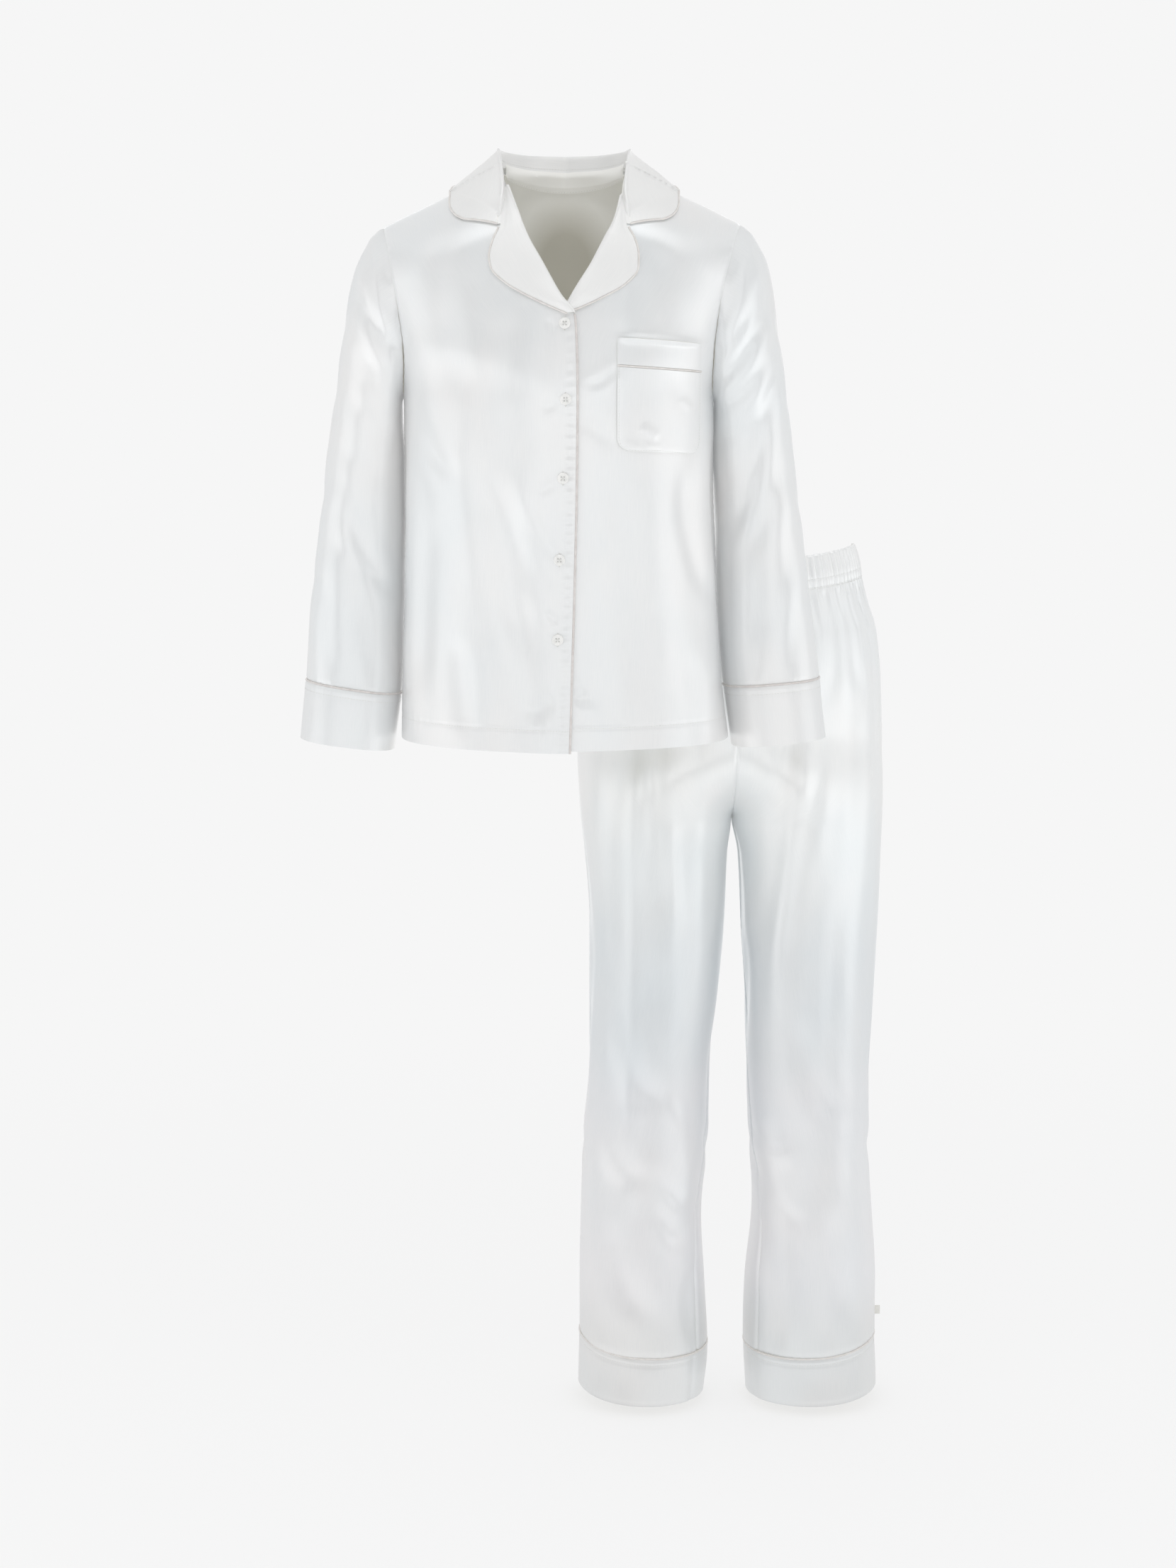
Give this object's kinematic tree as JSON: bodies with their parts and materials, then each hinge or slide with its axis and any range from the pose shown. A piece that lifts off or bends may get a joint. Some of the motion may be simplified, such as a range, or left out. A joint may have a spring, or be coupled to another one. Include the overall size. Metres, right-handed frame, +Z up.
{
  "type": "pyjama set",
  "caption": "Notch-collar button-front pyjama top with long cuffed sleeves and a chest pocket, with long straight elastic-waist trousers, piped.",
  "frame": {"origin": "level with the top's neck points, midway between its shoulders, over its side seams, where the wearer's shoulders hold it up", "axes": "+X to the wearer's left, +Y to the wearer's back, +Z up"},
  "size_m": [0.6959, 0.4991, 1.5123],
  "materials": {
    "top_back": "satin weave, soft sheen",
    "top_front_right": "satin weave, soft sheen",
    "top_front_left": "satin weave, soft sheen",
    "sleeve_right": "satin weave, soft sheen",
    "sleeve_left": "satin weave, soft sheen",
    "cuff_right": "satin weave, soft sheen",
    "cuff_left": "satin weave, soft sheen",
    "collar": "satin weave, soft sheen",
    "lapel_right": "satin weave, soft sheen",
    "lapel_left": "satin weave, soft sheen",
    "neck_facing": "satin, in shade",
    "pocket": "satin weave, soft sheen",
    "pocket_band": "satin weave, soft sheen",
    "button_1": "pearly, slightly polished",
    "button_2": "pearly, slightly polished",
    "button_3": "pearly, slightly polished",
    "button_4": "pearly, slightly polished",
    "button_5": "pearly, slightly polished",
    "piping_front": "satin-covered cord, slightly glossy",
    "piping_collar": "satin-covered cord, slightly glossy",
    "piping_lapel_right": "satin-covered cord, slightly glossy",
    "piping_lapel_left": "satin-covered cord, slightly glossy",
    "piping_cuff_right": "satin-covered cord, slightly glossy",
    "piping_cuff_left": "satin-covered cord, slightly glossy",
    "piping_pocket": "satin-covered cord, slightly glossy",
    "trouser_front_right": "satin weave, soft sheen",
    "trouser_front_left": "satin weave, soft sheen",
    "trouser_back_right": "satin weave, soft sheen",
    "trouser_back_left": "satin weave, soft sheen",
    "waistband": "satin weave, soft sheen",
    "leg_band_right": "satin weave, soft sheen",
    "leg_band_left": "satin weave, soft sheen",
    "piping_leg_right": "satin-covered cord, slightly glossy",
    "piping_leg_left": "satin-covered cord, slightly glossy",
    "side_tab": "woven tape, matt"
  },
  "bodies": {
    "root": {"top_back": "top_back", "top_front_right": "top_front_right", "top_front_left": "top_front_left", "sleeve_right": "sleeve_right", "sleeve_left": "sleeve_left", "cuff_right": "cuff_right", "cuff_left": "cuff_left", "collar": "collar", "lapel_right": "lapel_right", "lapel_left": "lapel_left", "neck_facing": "neck_facing", "pocket": "pocket", "pocket_band": "pocket_band", "button_1": "button_1", "button_2": "button_2", "button_3": "button_3", "button_4": "button_4", "button_5": "button_5", "piping_front": "piping_front", "piping_collar": "piping_collar", "piping_lapel_right": "piping_lapel_right", "piping_lapel_left": "piping_lapel_left", "piping_cuff_right": "piping_cuff_right", "piping_cuff_left": "piping_cuff_left", "piping_pocket": "piping_pocket", "trouser_front_right": "trouser_front_right", "trouser_front_left": "trouser_front_left", "trouser_back_right": "trouser_back_right", "trouser_back_left": "trouser_back_left", "waistband": "waistband", "leg_band_right": "leg_band_right", "leg_band_left": "leg_band_left", "piping_leg_right": "piping_leg_right", "piping_leg_left": "piping_leg_left", "side_tab": "side_tab"}
  },
  "joints": []
}
